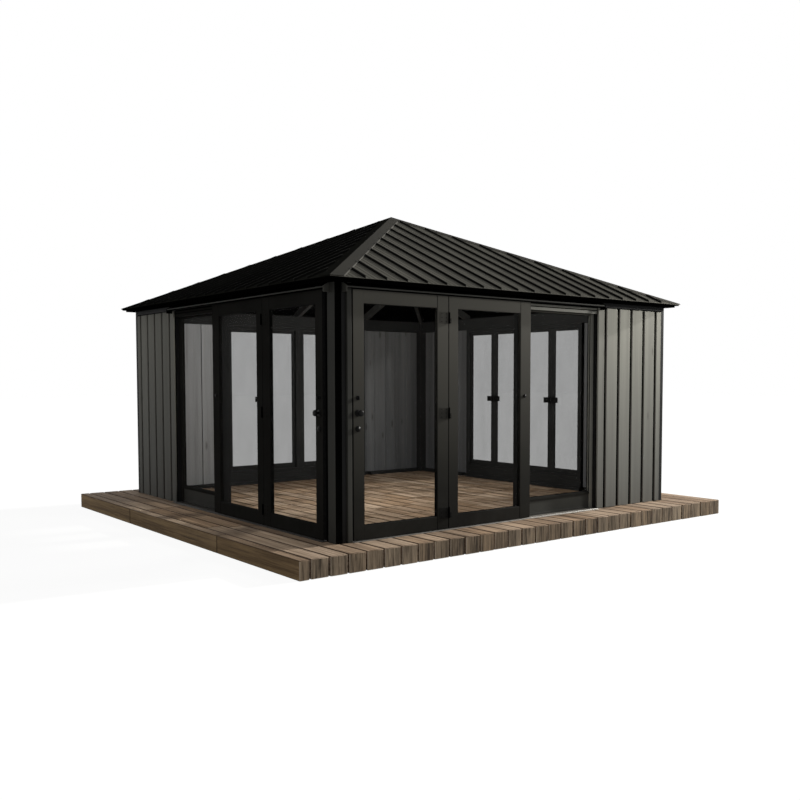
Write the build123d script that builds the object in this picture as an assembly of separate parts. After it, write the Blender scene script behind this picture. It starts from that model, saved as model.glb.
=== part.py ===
from build123d import *
import math
import os

# Garden office pod: one square room under a pyramid roof, on a platform of solid deck timbers.
# Millimetres. +X runs along the front wall, the left wall faces -X, and +Z is up.
# The origin is below the middle of the room, on the ground that the platform lies on.
# On a wall, u runs from its near or left corner, v inward from its face, and z up from the deck.

# Room and platform
pod_side = 4200
deck_height = 152
deck_left_margin = 561
deck_right_margin = 512
deck_front_margin = 386
deck_back_margin = 301
timber_pitch = 167
timber_gap = 7
timber_gap_depth = 60

# Clearances: pieces that sit on one another, and the overrun of every cut
seat = 0.3
overrun = 20

# Posts, rails and beams
post_side = 150
post_nib = 46
bay_post_width = 90
beam_depth = 90
beam_height = 145
base_rail_height = 42

# Cladding: upright boards outside with open joints, and a lining inside
board_depth = 28
panel_depth = 60
board_pitch = 202
board_joint = 38
board_joint_depth = 18
corner_board_joint = 142
board_head_gap = 10
front_clad_width = 1062
window_clad_width = 1080

# Glazed leaves on the front and left walls
leaf_depth = 42
leaf_proud = 20
leaf_bottom = 12
leaf_height = 2022
door_width = 994
side_leaf_width = 1000
strike_gap = 8
hinge_gap = 6
head_gap = 8
stile_width = 103
hinge_stile_width = 120
end_stile_width = 129
top_rail_height = 104
bottom_rail_height = 113
glass_depth = 20

# Fixed light beside the leaves
fixed_recess = 63
fixed_depth = 45
fixed_stile_width = 45
fixed_top_rail = 12
fixed_middle_rail = 25
fixed_kick_height = 144
kick_depth = 22

# Threshold strip and the hood over the leaves
threshold_height = 6
threshold_reach = 40
hood_reach = 57
hood_nose_height = 12
hood_top_reach = 15
hood_start = 82
hood_end_lap = 22
hood_cap_depth = 12
hood_cap_drop = 34
hood_cap_lip = 3

# Hinges and handle set of each door
hinge_height_shares = (0.07, 0.5, 0.907)
hinge_barrel_length = 48
hinge_barrel_radius = 7.5
hinge_pin_radius = 4
hinge_pin_clearance = 0.1
hinge_axis_reach = 8
hinge_plate_width = 34
hinge_plate_depth = 3
door_plate_width = 100
door_plate_relief = 13
handle_inset = 44
knob_height = 1045
knob_rose_radius = 28
knob_rose_depth = 8
knob_neck_radius = 11
knob_neck_length = 24
knob_radius = 26
knob_depth = 22
knob_edge_radius = 8
lock_height = 917
lock_rose_radius = 24
lock_rose_depth = 10
lock_plug_radius = 9
lock_plug_depth = 4
turn_height = 1167
turn_rose_radius = 18
turn_bar_width = 9
turn_bar_length = 32
turn_bar_depth = 16
catch_height = 1159
catch_inset = 83
catch_radius = 15
catch_depth = 14

# Paired casement windows on the back and right walls
window_kick_height = 121
window_frame_width = 50
window_frame_front = 40
window_frame_depth = 60
window_top_bar = 40
sash_inset = 8
sash_depth = 14
sash_stile_width = 34
meeting_stile_width = 55
sash_bottom_rail = 60
sash_top_rail = 34
sash_glass_depth = 8
latch_height = 1060
latch_plate_width = 30
latch_plate_height = 90
latch_plate_depth = 8
latch_lever_length = 116
latch_lever_height = 66
latch_lever_depth = 14

# Roof
head_band_height = 73
rafter_heel = 47
roof_rise = 985
roof_overhang = 123
roof_sheet = 18
eave_lip_reach = 80
eave_lip_drop = 31
hip_cap_width = 137
hip_cap_height = 8
apex_cap_reach = 160
rafter_width = 50
jack_rafter_offset = 1050
hub_reach = 75
hub_drop = 20
hub_sides = 8

# Worked out from the sizes above
half = pod_side / 2
root_two = math.sqrt(2)
quarter_turn = 90
leaf_top = leaf_bottom + leaf_height
leaf_back = leaf_depth - leaf_proud
head_bottom = leaf_top + head_gap
beam_top = head_bottom + head_band_height
beam_bottom = beam_top - beam_height
beam_front = board_depth + seat
beam_back = beam_front + beam_depth
board_top = head_bottom - board_head_gap
door_start = post_side + strike_gap
door_end = door_start + door_width
hinge_line = door_end + hinge_gap / 2
side_leaf_start = door_end + hinge_gap
side_leaf_end = side_leaf_start + side_leaf_width
fixed_start = side_leaf_end + seat
clad_start = pod_side - front_clad_width
fixed_end = clad_start - seat
window_start = window_clad_width
window_end = pod_side - window_clad_width
roof_half = half + roof_overhang
roof_slope = roof_rise / roof_half
roof_under_beam = beam_top + seat + rafter_heel + seat
eave_top = roof_under_beam + roof_sheet - (roof_overhang + beam_front) * roof_slope
lip_bottom = beam_top - eave_lip_drop
deck_top = deck_height + seat


def block(u_from, u_to, v_from, v_to, z_from, z_to):
    """A box on the front wall, between two places along it, through it and above the deck."""
    corner = Plane(origin=(u_from - half, v_from - half, deck_height + z_from))
    return Solid.make_box(u_to - u_from, v_to - v_from, z_to - z_from, corner)


def bar_of(section, u_from, u_to):
    """A bar along the front wall whose section is a list of (v, z) points."""
    corners = [(u_from - half, v - half, deck_height + z) for v, z in section]
    return Solid.extrude(Face(Wire.make_polygon(corners)), Vector(u_to - u_from, 0, 0))


def disc(radius, u, z, v_from, v_to):
    """A round boss on the front wall that stands out from v_from to v_to."""
    foot = Plane(origin=(u - half, v_from - half, deck_height + z), z_dir=(0, -1, 0))
    return Solid.make_cylinder(radius, v_from - v_to, foot)


def on_wall(wall, shape):
    """Carry a shape from the front wall to the same place on another wall."""
    if wall == "left":
        return shape.mirror(Plane(origin=(0, 0, 0), z_dir=(1, -1, 0)))
    if wall == "back":
        return shape.mirror(Plane.XZ)
    if wall == "right":
        return shape.rotate(Axis.Z, quarter_turn)
    return shape


def turned(shape, turns):
    """A shape turned about the middle of the room by a number of quarter turns."""
    return shape.rotate(Axis.Z, turns * quarter_turn)


def other_end(shape):
    """The same shape at the other end of the front wall."""
    return shape.mirror(Plane.YZ)


def under_roof(v):
    """Height of the roof sheet's underside above the deck, at v in from the wall face."""
    return eave_top - roof_sheet + (roof_overhang + v) * roof_slope


def wedge(gap):
    """The quarter of the plan in front of the middle, held back from both diagonals by gap."""
    reach = roof_half + overrun
    corners = [(0, -gap, 0), (gap - reach, -reach, 0), (reach - gap, -reach, 0)]
    height = deck_height + eave_top + roof_rise + overrun
    return Solid.extrude(Face(Wire.make_polygon(corners)), Vector(0, 0, height))


def save(node, *solids):
    """Write the solids of one node."""
    export_step(Compound(children=list(solids)), f"parts/{node}.step")


def deck_platform():
    """Solid timbers laid front to back, with an open joint between neighbours."""
    left = -half - deck_left_margin
    front = -half - deck_front_margin
    length = pod_side + deck_left_margin + deck_right_margin
    width = pod_side + deck_front_margin + deck_back_margin
    platform = Solid.make_box(length, width, deck_height, Plane(origin=(left, front, 0)))
    joints = []
    for number in range(1, math.ceil(length / timber_pitch)):
        middle = left + length - number * timber_pitch
        corner = (middle - timber_gap / 2, front - overrun, deck_height - timber_gap_depth)
        joint_width = width + 2 * overrun
        joint_depth = timber_gap_depth + overrun
        joints.append(Solid.make_box(timber_gap, joint_width, joint_depth, Plane(origin=corner)))
    return platform.cut(*joints).solid()


def clad_corner_post():
    """The post at the front wall's far corner, rebated on both faces for the cladding."""
    start = pod_side - post_side
    nib = pod_side - post_nib
    post = block(start, pod_side, 0, post_side, seat, beam_top)
    foot = -overrun
    head = beam_top + overrun
    front_rebate = block(start - overrun, nib, -overrun, beam_front, foot, head)
    side_rebate_sides = (pod_side - beam_front, pod_side + overrun)
    side_rebate = block(*side_rebate_sides, post_nib, post_side + overrun, foot, head)
    return post.cut(front_rebate, side_rebate).solid()


def clad_panel(clad_width):
    """Boards and lining between the glazing and the front wall's far corner."""
    start = pod_side - clad_width
    lining_start = start + bay_post_width + seat
    lining_end = pod_side - post_side - seat
    boards_end = pod_side - post_nib - seat
    boards = block(start, boards_end, 0, board_depth, seat, board_top)
    joints = []
    joint_count = math.ceil((clad_width - corner_board_joint - board_joint) / board_pitch)
    for number in range(joint_count):
        middle = pod_side - corner_board_joint - number * board_pitch
        joint_start = middle - board_joint / 2
        joint_end = middle + board_joint / 2
        joint_top = board_top + overrun
        joints.append(block(joint_start, joint_end, -overrun, board_joint_depth, -overrun, joint_top))
    lining_foot = base_rail_height + seat
    lining = block(lining_start, lining_end, board_depth, panel_depth, lining_foot, beam_bottom - seat)
    return boards.cut(*joints).fuse(lining).solid()


def frame_bars(u_from, u_to, v_from, v_to, z_from, z_to, left, right, top, bottom):
    """Two stiles and the two rails between them."""
    rail_start = u_from + left + seat
    rail_end = u_to - right - seat
    return [
        block(u_from, u_from + left, v_from, v_to, z_from, z_to),
        block(u_to - right, u_to, v_from, v_to, z_from, z_to),
        block(rail_start, rail_end, v_from, v_to, z_to - top, z_to),
        block(rail_start, rail_end, v_from, v_to, z_from, z_from + bottom),
    ]


def pane(u_from, u_to, v_middle, depth, z_from, z_to):
    """A glass unit, set a seat's width inside the opening of its frame."""
    v_from = v_middle - depth / 2
    v_to = v_middle + depth / 2
    return block(u_from + seat, u_to - seat, v_from, v_to, z_from + seat, z_to - seat)


def leaf_bars(u_from, u_to, left, right):
    """The frame of one glazed leaf."""
    sizes = (left, right, top_rail_height, bottom_rail_height)
    return frame_bars(u_from, u_to, -leaf_proud, leaf_back, leaf_bottom, leaf_top, *sizes)


def leaf_pane(u_from, u_to, left, right):
    """The glass unit of one leaf."""
    middle = leaf_depth / 2 - leaf_proud
    foot = leaf_bottom + bottom_rail_height
    return pane(u_from + left, u_to - right, middle, glass_depth, foot, leaf_top - top_rail_height)


def fixed_light_bars():
    """Frame and kick panel of the fixed light, set back from the leaves."""
    back = fixed_recess + fixed_depth
    foot = threshold_height + seat
    head = beam_bottom - seat
    rail_start = fixed_start + fixed_stile_width + seat
    rail_end = fixed_end - fixed_stile_width - seat
    rail_foot = foot + fixed_kick_height + seat
    kick_front = fixed_recess + (fixed_depth - kick_depth) / 2
    return [
        block(fixed_start, fixed_start + fixed_stile_width, fixed_recess, back, foot, head),
        block(fixed_end - fixed_stile_width, fixed_end, fixed_recess, back, foot, head),
        block(rail_start, rail_end, fixed_recess, back, head - fixed_top_rail, head),
        block(rail_start, rail_end, fixed_recess, back, rail_foot, rail_foot + fixed_middle_rail),
        block(rail_start, rail_end, kick_front, kick_front + kick_depth, foot, foot + fixed_kick_height),
    ]


def fixed_light_pane():
    """The glass unit of the fixed light."""
    middle = fixed_recess + fixed_depth / 2
    foot = threshold_height + seat + fixed_kick_height + seat + fixed_middle_rail
    head = beam_bottom - seat - fixed_top_rail
    start = fixed_start + fixed_stile_width
    return pane(start, fixed_end - fixed_stile_width, middle, glass_depth, foot, head)


def hinge_foot(height_share):
    """Height of the bottom of one hinge above the deck."""
    return leaf_bottom + leaf_height * height_share - hinge_barrel_length


def hinge_cylinder(radius, z_from, z_to):
    """A round bar on the hinge line of the front door."""
    place = (hinge_line - half, -leaf_proud - hinge_axis_reach - half, deck_height + z_from)
    return Solid.make_cylinder(radius, z_to - z_from, Plane(origin=place))


def hinge_plate(u_from, u_to, z_from, z_to):
    """A hinge flap, screwed flat to the face of a leaf."""
    face = -leaf_proud - seat
    return block(u_from, u_to, face - hinge_plate_depth, face, z_from, z_to)


def door_knuckle(height_share):
    """The upper half of a hinge, which turns with the door, on a plate as tall as both halves."""
    plate_foot = hinge_foot(height_share)
    foot = plate_foot + hinge_barrel_length + seat
    head = foot + hinge_barrel_length
    barrel = hinge_cylinder(hinge_barrel_radius, foot, head)
    bore = hinge_cylinder(hinge_pin_radius + hinge_pin_clearance, foot - overrun, head + overrun)
    plate_start = hinge_line - door_plate_width
    plate = hinge_plate(plate_start, hinge_line - hinge_gap / 2, foot, head)
    lower_plate = hinge_plate(plate_start, hinge_line - door_plate_relief, plate_foot, foot)
    return barrel.fuse(plate, lower_plate).cut(bore).solid()


def pin_knuckle(height_share):
    """The lower half of a hinge, on the side leaf, with the pin that stands up through the upper."""
    foot = hinge_foot(height_share)
    head = foot + hinge_barrel_length
    barrel = hinge_cylinder(hinge_barrel_radius, foot, head)
    pin = hinge_cylinder(hinge_pin_radius, foot, head + hinge_barrel_length)
    plate = hinge_plate(hinge_line + hinge_gap / 2, hinge_line + hinge_plate_width, foot, head)
    return barrel.fuse(plate, pin).solid()


def handle_set():
    """Knob, key lock and thumb turn on the door's free stile."""
    u = door_start + handle_inset
    face = -leaf_proud - seat
    rose_front = face - knob_rose_depth
    neck_front = rose_front - knob_neck_length
    head = disc(knob_radius, u, knob_height, neck_front, neck_front - knob_depth)
    head = head.fillet(knob_edge_radius, head.edges().filter_by(GeomType.CIRCLE))
    rose = disc(knob_rose_radius, u, knob_height, face, rose_front)
    neck = disc(knob_neck_radius, u, knob_height, rose_front, neck_front)
    knob = rose.fuse(neck, head).solid()
    lock_front = face - lock_rose_depth
    lock_rose = disc(lock_rose_radius, u, lock_height, face, lock_front)
    lock_plug = disc(lock_plug_radius, u, lock_height, lock_front, lock_front - lock_plug_depth)
    lock = lock_rose.fuse(lock_plug).solid()
    turn_front = face - knob_rose_depth
    turn_rose = disc(turn_rose_radius, u, turn_height, face, turn_front)
    turn_sides = (u - turn_bar_width / 2, u + turn_bar_width / 2)
    turn_ends = (turn_height - turn_bar_length / 2, turn_height + turn_bar_length / 2)
    turn_bar = block(*turn_sides, turn_front - turn_bar_depth, turn_front, *turn_ends)
    turn = turn_rose.fuse(turn_bar).solid()
    return [knob, lock, turn]


def leaf_catch():
    """The round catch on the side leaf's end stile."""
    face = -leaf_proud - seat
    return disc(catch_radius, side_leaf_end - catch_inset, catch_height, face, face - catch_depth)


def hood_section(reach, foot):
    """Section of the hood: a flat back, a short nose and a top that slopes back to the eave."""
    head = lip_bottom - seat
    nose_top = head_bottom + hood_nose_height
    return [(-seat, foot), (-reach, foot), (-reach, nose_top), (-hood_top_reach, head), (-seat, head)]


def hood_bars():
    """The hood over the glazed bays, with a deeper cap at each end."""
    far_end = clad_start + hood_end_lap
    cap_section = hood_section(hood_reach + hood_cap_lip, head_bottom - hood_cap_drop)
    return [
        bar_of(hood_section(hood_reach, head_bottom), hood_start + seat, far_end - seat),
        bar_of(cap_section, hood_start - hood_cap_depth, hood_start),
        bar_of(cap_section, far_end, far_end + hood_cap_depth),
    ]


def window_parts():
    """Frames, sashes, glass, kick panels and latches of the two window pairs of a wall."""
    frames, sashes, glass, kicks, latches = [], [], [], [], []
    pair_width = (window_end - window_start) / 2
    frame_back = window_frame_front + window_frame_depth
    foot = window_kick_height + seat
    head = beam_bottom - seat
    sash_front = window_frame_front + sash_inset
    sash_back = sash_front + sash_depth
    sash_foot = foot + window_frame_width + seat
    sash_head = head - window_top_bar - seat
    for pair in range(2):
        start = window_start + pair * pair_width + seat
        end = start + pair_width - 2 * seat
        bars = (window_frame_width, window_frame_width, window_top_bar, window_frame_width)
        frames += frame_bars(start, end, window_frame_front, frame_back, foot, head, *bars)
        kick_foot = base_rail_height + seat
        kicks.append(block(start, end, window_frame_front, frame_back, kick_foot, window_kick_height))
        middle = (start + end) / 2
        for side in (-1, 1):
            outer = middle + side * (pair_width / 2 - window_frame_width - 2 * seat)
            inner = middle + side * seat
            left, right = sorted((outer, inner))
            if side < 0:
                stiles = (sash_stile_width, meeting_stile_width)
            else:
                stiles = (meeting_stile_width, sash_stile_width)
            bars = (*stiles, sash_top_rail, sash_bottom_rail)
            sashes += frame_bars(left, right, sash_front, sash_back, sash_foot, sash_head, *bars)
            pane_middle = (sash_front + sash_back) / 2
            pane_sides = (left + stiles[0], right - stiles[1])
            pane_ends = (sash_foot + sash_bottom_rail, sash_head - sash_top_rail)
            glass.append(pane(*pane_sides, pane_middle, sash_glass_depth, *pane_ends))
            latch_place = middle + side * meeting_stile_width / 2
            latches.append(window_latch(latch_place, side, sash_back + seat))
    return frames, sashes, glass, kicks, latches


def window_latch(u, side, face):
    """A lever handle on a meeting stile, pointing away from the meeting line."""
    plate_sides = (u - latch_plate_width / 2, u + latch_plate_width / 2)
    plate_ends = (latch_height - latch_plate_height / 2, latch_height + latch_plate_height / 2)
    plate_back = face + latch_plate_depth
    plate = block(*plate_sides, face, plate_back, *plate_ends)
    lever_root = u - side * latch_plate_width / 2
    lever_tip = u + side * (latch_lever_length - latch_plate_width)
    lever_sides = sorted((lever_root, lever_tip))
    lever_ends = (latch_height - latch_lever_height / 2, latch_height + latch_lever_height / 2)
    lever = block(*lever_sides, plate_back, plate_back + latch_lever_depth, *lever_ends)
    return plate.fuse(lever).solid()


def roof_top(y):
    """Height of the front slope's upper face above the ground."""
    return deck_height + eave_top + (roof_half + y) * roof_slope


def roof_plate():
    """The front slope: a thin three-cornered plate from the eave to the apex."""
    corners = [(seat - roof_half, -roof_half), (roof_half - seat, -roof_half), (0, -seat)]
    face = Face(Wire.make_polygon([(x, y, roof_top(y)) for x, y in corners]))
    return Solid.extrude(face, Vector(0, 0, -roof_sheet))


def cap_on_front_slope(corners):
    """A raised cover that follows the front slope over the given plan outline."""
    face = Face(Wire.make_polygon([(x, y, roof_top(y) + seat) for x, y in corners]))
    return Solid.extrude(face, Vector(0, 0, hip_cap_height))


def hip_cap():
    """The folded cover along the near hip, wide on both slopes."""
    corners = [
        (-roof_half, -roof_half),
        (hip_cap_width - roof_half, -roof_half),
        (hip_cap_width - apex_cap_reach, -apex_cap_reach),
        (-apex_cap_reach, -apex_cap_reach),
    ]
    front_side = cap_on_front_slope(corners)
    return front_side.fuse(on_wall("left", front_side)).solid()


def apex_cap():
    """The four-sided cover over the tip of the roof."""
    reach = apex_cap_reach - seat
    quarter = cap_on_front_slope([(-reach, -reach), (reach, -reach), (0, 0)])
    return quarter.fuse(*[turned(quarter, turns) for turns in range(1, 4)]).solid()


def eave_box():
    """The closed eave along the front, mitred to its neighbours at the corners."""
    section = [
        (-eave_lip_reach, lip_bottom),
        (-seat, lip_bottom),
        (-seat, under_roof(-seat) - seat),
        (-eave_lip_reach, under_roof(-eave_lip_reach) - seat),
    ]
    full = bar_of(section, -eave_lip_reach, pod_side + eave_lip_reach)
    return full.intersect(wedge(seat)).solid()


def jack_rafter(offset):
    """A rafter of the front slope, seated on the beam and cut to the hip rafter or the hub."""
    seat_height = beam_top + seat
    depth = under_roof(beam_back) - seat_height
    end = half - hub_reach - seat
    section = [
        (beam_front, seat_height),
        (beam_back, seat_height),
        (end, under_roof(end) - depth),
        (end, under_roof(end) - seat),
        (beam_front, under_roof(beam_front) - seat),
    ]
    middle = half + offset
    rafter = bar_of(section, middle - rafter_width / 2, middle + rafter_width / 2)
    return rafter.intersect(wedge(rafter_width / root_two + seat)).solid() if offset else rafter


def hip_rafter():
    """The rafter under the near hip, from the corner post's head to the hub."""
    drop = rafter_width / 2 / root_two * roof_slope + seat
    seat_height = beam_top + seat
    depth = under_roof(post_side) - drop - seat_height
    end = half - (hub_reach + seat) / root_two
    section = [
        (beam_front, seat_height),
        (post_side, seat_height),
        (end, under_roof(end) - drop - depth),
        (end, under_roof(end) - drop),
        (beam_front, under_roof(beam_front) - drop),
    ]
    shift = rafter_width / 2 / root_two
    corners = [(v - half - shift, v - half + shift, deck_height + z) for v, z in section]
    return Solid.extrude(Face(Wire.make_polygon(corners)), Vector(2 * shift, -2 * shift, 0))


def roof_hub():
    """The eight-sided block at the apex that the rafters meet."""
    end = half - hub_reach
    head = under_roof(end) - seat
    depth = under_roof(beam_back) - beam_top
    foot = head - depth - hub_drop
    flats = RegularPolygon(hub_reach, hub_sides, major_radius=False)
    half_flat = 2 * quarter_turn / hub_sides
    block_face = Pos(0, 0, deck_height + foot) * Rot(0, 0, half_flat) * flats
    return Solid.extrude(block_face.face(), Vector(0, 0, head - foot))


os.makedirs("parts", exist_ok=True)
glazed_walls = ("front", "left")
window_walls = ("back", "right")
all_walls = glazed_walls + window_walls

# Platform, rails, posts and beams
save("deck_platform", deck_platform())
rail_end = pod_side - post_side - seat
clad_rail_start = clad_start + bay_post_width + seat
clad_rail = block(clad_rail_start, rail_end, beam_front, beam_back, seat, base_rail_height)
end_rail_start = window_end + bay_post_width + seat
end_rail = block(end_rail_start, rail_end, beam_front, beam_back, seat, base_rail_height)
window_rail_ends = (window_start + seat, window_end - seat)
window_rail = block(*window_rail_ends, beam_front, beam_back, seat, base_rail_height)
rails = [on_wall(wall, clad_rail) for wall in glazed_walls]
for wall in window_walls:
    rails += [on_wall(wall, rail) for rail in (end_rail, other_end(end_rail), window_rail)]
save("base_rails", *rails)
save("near_corner_post", block(0, post_side, 0, post_side, seat, beam_top))
save("clad_corner_posts", *[turned(clad_corner_post(), turns) for turns in range(3)])
mullion_start = side_leaf_end - bay_post_width
mullion_foot = threshold_height + seat
post_head = beam_bottom - seat
mullion = block(mullion_start, side_leaf_end, leaf_back + seat, beam_back, mullion_foot, post_head)
clad_bay_post = block(clad_start, clad_start + bay_post_width, beam_front, beam_back, seat, post_head)
window_post_sides = (window_end, window_end + bay_post_width)
window_bay_post = block(*window_post_sides, beam_front, panel_depth, seat, post_head)
bay_posts = [on_wall(wall, post) for wall in glazed_walls for post in (mullion, clad_bay_post)]
for wall in window_walls:
    bay_posts += [on_wall(wall, post) for post in (window_bay_post, other_end(window_bay_post))]
save("bay_posts", *bay_posts)
top_beam = block(post_side + seat, rail_end, beam_front, beam_back, beam_bottom, beam_top)
save("top_beams", *[on_wall(wall, top_beam) for wall in all_walls])
band_end = pod_side - post_nib - seat
glazed_band = block(post_side + seat, band_end, 0, board_depth, head_bottom, beam_top)
window_band = block(post_nib + seat, band_end, 0, board_depth, head_bottom, beam_top)
bands = [on_wall(wall, glazed_band) for wall in glazed_walls]
bands += [on_wall(wall, window_band) for wall in window_walls]
save("head_bands", *bands)

# Clad panels
for wall in glazed_walls:
    save(f"{wall}_wall_panel", on_wall(wall, clad_panel(front_clad_width)))
end_panel = clad_panel(window_clad_width)
for wall in window_walls:
    save(f"{wall}_wall_panels", on_wall(wall, end_panel), on_wall(wall, other_end(end_panel)))

# Doors, side leaves and fixed lights
threshold = block(post_side + seat, fixed_end, -threshold_reach, beam_back, seat, threshold_height)
save("door_thresholds", *[on_wall(wall, threshold) for wall in glazed_walls])
save("door_hoods", *[on_wall(wall, bar) for wall in glazed_walls for bar in hood_bars()])
door_sizes = (door_start, door_end, stile_width, hinge_stile_width)
side_sizes = (side_leaf_start, side_leaf_end, stile_width, end_stile_width)
for wall in glazed_walls:
    knuckles = [on_wall(wall, door_knuckle(share)) for share in hinge_height_shares]
    save(f"{wall}_door_frame", *[on_wall(wall, bar) for bar in leaf_bars(*door_sizes)])
    save(f"{wall}_door_glass", on_wall(wall, leaf_pane(*door_sizes)))
    save(f"{wall}_door_handle_set", *[on_wall(wall, piece) for piece in handle_set()])
    save(f"{wall}_door_hinges", *knuckles)
    save(f"{wall}_side_leaf", *[on_wall(wall, bar) for bar in leaf_bars(*side_sizes)])
    save(f"{wall}_fixed_light", *[on_wall(wall, bar) for bar in fixed_light_bars()])
    save(f"{wall}_side_glass", on_wall(wall, leaf_pane(*side_sizes)), on_wall(wall, fixed_light_pane()))
pins = [on_wall(wall, pin_knuckle(share)) for wall in glazed_walls for share in hinge_height_shares]
save("hinge_pins", *pins)
save("leaf_catches", *[on_wall(wall, leaf_catch()) for wall in glazed_walls])

# Windows
window_nodes = ("window_frames", "window_sashes", "window_glass", "window_kick_panels", "window_latches")
for node, pieces in zip(window_nodes, window_parts()):
    save(node, *[on_wall(wall, piece) for wall in window_walls for piece in pieces])

# Roof
for wall in all_walls:
    save(f"{wall}_roof_slope", on_wall(wall, roof_plate()))
save("hip_caps", *[turned(hip_cap(), turns) for turns in range(4)])
save("apex_cap", apex_cap())
save("eave_boxes", *[turned(eave_box(), turns) for turns in range(4)])
save("hip_rafters", *[turned(hip_rafter(), turns) for turns in range(4)])
slope_rafters = [jack_rafter(offset) for offset in (-jack_rafter_offset, 0, jack_rafter_offset)]
save("jack_rafters", *[turned(rafter, turns) for rafter in slope_rafters for turns in range(4)])
save("roof_hub", roof_hub())
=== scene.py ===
import bmesh
import bpy
import math
import random
from mathutils import Matrix, Vector


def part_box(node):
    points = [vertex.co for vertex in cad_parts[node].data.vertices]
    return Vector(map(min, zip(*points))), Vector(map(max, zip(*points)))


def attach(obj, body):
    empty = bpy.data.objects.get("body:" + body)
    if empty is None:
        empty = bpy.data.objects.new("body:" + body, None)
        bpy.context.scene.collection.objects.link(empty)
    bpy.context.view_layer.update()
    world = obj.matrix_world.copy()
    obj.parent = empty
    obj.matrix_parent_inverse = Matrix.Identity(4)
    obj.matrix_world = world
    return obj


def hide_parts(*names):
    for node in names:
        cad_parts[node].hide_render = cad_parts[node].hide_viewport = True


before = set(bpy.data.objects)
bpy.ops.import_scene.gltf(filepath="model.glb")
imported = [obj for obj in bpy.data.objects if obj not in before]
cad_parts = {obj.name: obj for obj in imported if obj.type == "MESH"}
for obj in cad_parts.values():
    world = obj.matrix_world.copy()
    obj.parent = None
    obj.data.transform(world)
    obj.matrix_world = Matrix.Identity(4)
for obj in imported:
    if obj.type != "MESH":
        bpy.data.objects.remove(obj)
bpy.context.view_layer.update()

# Camera and studio: the view of someone standing off the near corner, on a wide pale floor.
# A low sun on the right shines through the windows, a soft lamp lights the front and another the room, and a
# pale sky fills the shade.
camera_tilt = 0.0542
camera_turn = 0.6776
floor_size = 120
sky_fill = 0.34
scene = bpy.context.scene
scene.view_settings.view_transform = "Standard"
camera = bpy.data.objects.new("camera", bpy.data.cameras.new("camera"))
camera.location = (-5.97209, -8.10779, 1.4783)
camera.rotation_euler = (math.pi / 2 - camera_tilt, 0, -camera_turn)
camera.data.sensor_width = 36
camera.data.lens = 40.434
camera.data.shift_x = -0.0375
camera.data.shift_y = 0.03356
scene.collection.objects.link(camera)
scene.camera = camera


def lamp(name, kind, energy, source, target, **settings):
    """A warm lamp that shines from its source towards a target."""
    made = bpy.data.objects.new(name, bpy.data.lights.new(name, kind))
    made.location = source
    made.rotation_euler = (Vector(source) - Vector(target)).to_track_quat("Z", "Y").to_euler()
    made.data.energy = energy
    made.data.color = (1.0, 0.98, 0.93)
    for setting, value in settings.items():
        setattr(made.data, setting, value)
    scene.collection.objects.link(made)
    return made


lamp("sun_lamp", "SUN", 4.2, (1, -0.12, 0.36), (0, 0, 0), angle=0.03)
lamp("front_lamp", "AREA", 135, (4.1, -3.7, 3.0), (1.2, -2.0, 1.8), shape="DISK", size=0.6)
room_lamp = lamp("room_lamp", "POINT", 150, (-0.4, -0.4, 1.95), (-0.4, -0.4, 0), shadow_soft_size=0.4)
room_lamp.visible_camera = False
room_lamp.visible_transmission = False
room_lamp.visible_glossy = False


def node(tree, kind, inputs=None, **settings):
    """Add a node, set its options, and link or set its inputs. Colours are red, green and blue."""
    made = tree.nodes.new(kind)
    for name, value in settings.items():
        setattr(made, name, value)
    for name, value in (inputs or {}).items():
        socket = made.inputs[name]
        if isinstance(value, bpy.types.NodeSocket):
            tree.links.new(value, socket)
        else:
            socket.default_value = (*value, 1) if socket.type == "RGBA" else value
    return made


def math_node(tree, operation, first, second):
    """The result of one sum on two values."""
    return node(tree, "ShaderNodeMath", {0: first, 1: second}, operation=operation).outputs[0]


def spread(tree, value, low, high, to_low=0.0, to_high=1.0):
    """A value stretched from one range to another, and held to it."""
    inputs = {"Value": value, "From Min": low, "From Max": high, "To Min": to_low, "To Max": to_high}
    return node(tree, "ShaderNodeMapRange", inputs).outputs[0]


def seen_rays(tree):
    """1 for the rays that show a background: camera, glossy and transmission rays."""
    rays = node(tree, "ShaderNodeLightPath").outputs
    glossy = math_node(tree, "MAXIMUM", rays["Is Camera Ray"], rays["Is Glossy Ray"])
    return math_node(tree, "MAXIMUM", glossy, rays["Is Transmission Ray"])


def new_material(name):
    """A material with no nodes yet, and its node tree."""
    made = bpy.data.materials.new(name)
    made.use_nodes = True
    made.node_tree.nodes.clear()
    return made, made.node_tree


world = bpy.data.worlds.new("pale_sky")
scene.world = world
world.use_nodes = True
sky = world.node_tree
sky.nodes.clear()
sky_level = spread(sky, seen_rays(sky), 0.0, 1.0, sky_fill)
backdrop = node(sky, "ShaderNodeBackground", {"Color": (1, 1, 1), "Strength": sky_level})
node(sky, "ShaderNodeOutputWorld", {"Surface": backdrop.outputs[0]})

floor_mesh = bmesh.new()
bmesh.ops.create_grid(floor_mesh, x_segments=1, y_segments=1, size=floor_size / 2)
floor_data = bpy.data.meshes.new("floor")
floor_mesh.to_mesh(floor_data)
floor_mesh.free()
floor = bpy.data.objects.new("floor", floor_data)
scene.collection.objects.link(floor)
floor_paint, floor_tree = new_material("pale_floor")
shown_floor = node(floor_tree, "ShaderNodeBsdfDiffuse", {"Color": (0.12, 0.12, 0.12)})
glow = node(floor_tree, "ShaderNodeEmission", {"Color": (1, 1, 1), "Strength": 0.92})
lit_floor = node(floor_tree, "ShaderNodeAddShader", {0: shown_floor.outputs[0], 1: glow.outputs[0]})
bounce_floor = node(floor_tree, "ShaderNodeBsdfDiffuse", {"Color": (0.35, 0.35, 0.35)})
floor_parts = {0: seen_rays(floor_tree), 1: bounce_floor.outputs[0], 2: lit_floor.outputs[0]}
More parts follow.
